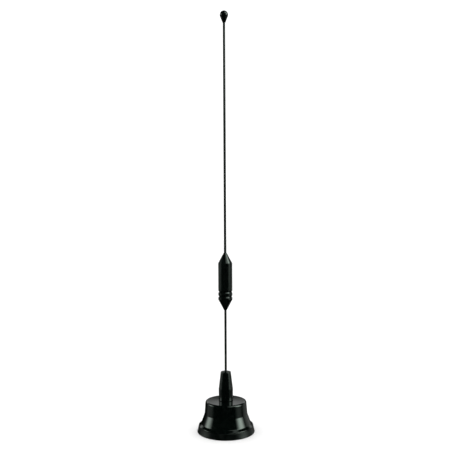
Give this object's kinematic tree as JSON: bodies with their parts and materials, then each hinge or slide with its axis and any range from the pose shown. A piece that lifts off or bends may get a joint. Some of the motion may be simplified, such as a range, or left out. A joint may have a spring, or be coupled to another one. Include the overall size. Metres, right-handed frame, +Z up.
{
  "type": "omnidirectional antenna",
  "caption": "Black screw-on vehicle whip antenna: bell-shaped base with a rubber gasket, tapered ferrule, lower whip, phasing coil and long upper whip with a teardrop tip.",
  "frame": {"origin": "on the antenna's axis, in the plane the rubber gasket rests on", "axes": "+Z up along the whip; +Y points to the side of the ferrule that has the set screws"},
  "size_m": [0.0446, 0.0446, 0.3283],
  "materials": {
    "gloss_plastic": "glossy moulded black",
    "black_rubber": "matt black rubber",
    "brass": "turned",
    "gold_plated_brass": "polished gold plate",
    "fibreglass_board": "green solder mask",
    "zinc_steel": "zinc plated",
    "former_plastic": "natural nylon",
    "copper": "enamelled copper wire",
    "ceramic": "ceramic with tinned ends",
    "spring_steel": "drawn wire",
    "black_plated_brass": "black chrome plate",
    "black_oxide_steel": "black oxide",
    "black_coated_steel": "black plated rod",
    "satin_plastic": "satin black",
    "core_fibreglass": "natural fibreglass rod"
  },
  "bodies": {
    "base": {"base_housing": "gloss_plastic", "base_gasket": "black_rubber", "mount_ring": "brass", "top_stud": "brass", "circuit_board": "fibreglass_board", "board_screws": "zinc_steel", "ground_lug": "brass", "coil_former": "former_plastic", "matching_coil": "copper", "matching_capacitor": "ceramic", "contact_barrel": "brass", "contact_spring": "spring_steel"},
    "seal": {"ferrule_seal": "black_rubber"},
    "whip": {"whip_ferrule": "black_plated_brass", "set_screws": "black_oxide_steel", "lower_whip": "black_coated_steel", "phasing_cap": "satin_plastic", "cap_seal": "black_rubber", "lower_terminal": "brass", "phasing_core": "core_fibreglass", "phasing_wire": "copper", "upper_terminal": "brass", "phasing_housing": "satin_plastic", "upper_whip": "black_coated_steel", "whip_tip": "black_plated_brass"},
    "contact": {"contact_pin": "gold_plated_brass"}
  },
  "joints": [
    {"name": "whip_lift", "type": "slide", "parent": "base", "child": "seal", "axis": [0, 0, 1], "range_m": [0, 0.0086]},
    {"name": "whip_unscrew", "type": "hinge", "parent": "seal", "child": "whip", "pos_m": [0, 0, 0.03], "axis": [0, 0, 1], "range_deg": [0, 2880]},
    {"name": "contact_travel", "type": "slide", "parent": "base", "child": "contact", "axis": [0, 0, 1], "range_m": [0, 0.002], "stiffness_N_per_m": 500, "springref_m": -0.002, "deforming": ["contact_spring"]}
  ],
  "couplings": [
    {"joint": "whip_lift", "follows": "whip_unscrew", "m_per_rad": 0.00016844}
  ]
}
